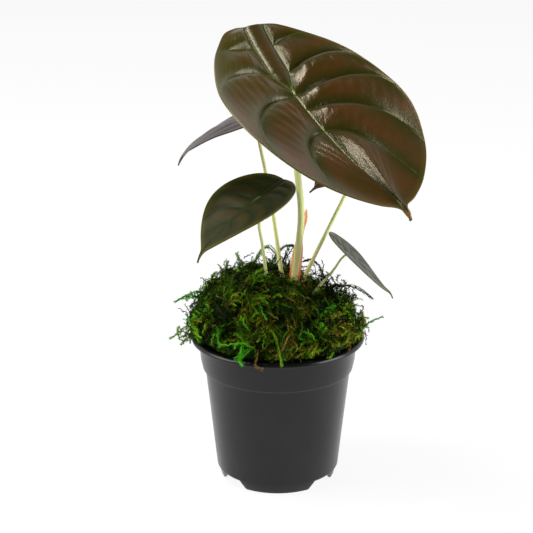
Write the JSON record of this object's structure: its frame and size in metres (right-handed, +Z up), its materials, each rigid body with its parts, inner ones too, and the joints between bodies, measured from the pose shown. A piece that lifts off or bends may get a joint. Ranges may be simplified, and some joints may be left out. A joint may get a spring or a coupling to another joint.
{
  "type": "potted red secret alocasia",
  "caption": "Young copper-leaved aroid in a round black nursery pot: shield-shaped puffed leaves on slim pale stalks above a mound of green moss.",
  "frame": {"origin": "middle of the pot's underside, on the central foot that stands on the ground", "axes": "+Z up along the pot's axis, -Y towards the picture's camera, +X to the camera's right"},
  "size_m": [0.1457, 0.1642, 0.2724],
  "materials": {
    "pot": "charcoal moulded plastic, satin",
    "potting_mix": "damp dark potting mix, rough",
    "rootstock": "pale brown rootstock, rough",
    "moss": "stranded moss, bright green to olive and brown",
    "sheath": "thin orange-red sheath, satin",
    "stalk": "pale green stalk, satin",
    "blade_great": "copper-bronze puffed leaf with green veins, glossy",
    "blade_back": "purple-grey leaf, satin",
    "blade_left": "dark olive leaf with green veins, satin",
    "blade_hidden": "dark red-brown leaf, satin",
    "blade_right": "grey-green leaf, satin"
  },
  "bodies": {
    "root": {"pot": "pot", "potting_mix": "potting_mix", "rootstock": "rootstock", "moss": "moss", "sheath": "sheath", "stalk_great": "stalk", "stalk_back": "stalk", "stalk_left": "stalk", "stalk_hidden": "stalk", "stalk_right": "stalk", "blade_great": "blade_great", "blade_back": "blade_back", "blade_left": "blade_left", "blade_hidden": "blade_hidden", "blade_right": "blade_right"}
  },
  "joints": []
}
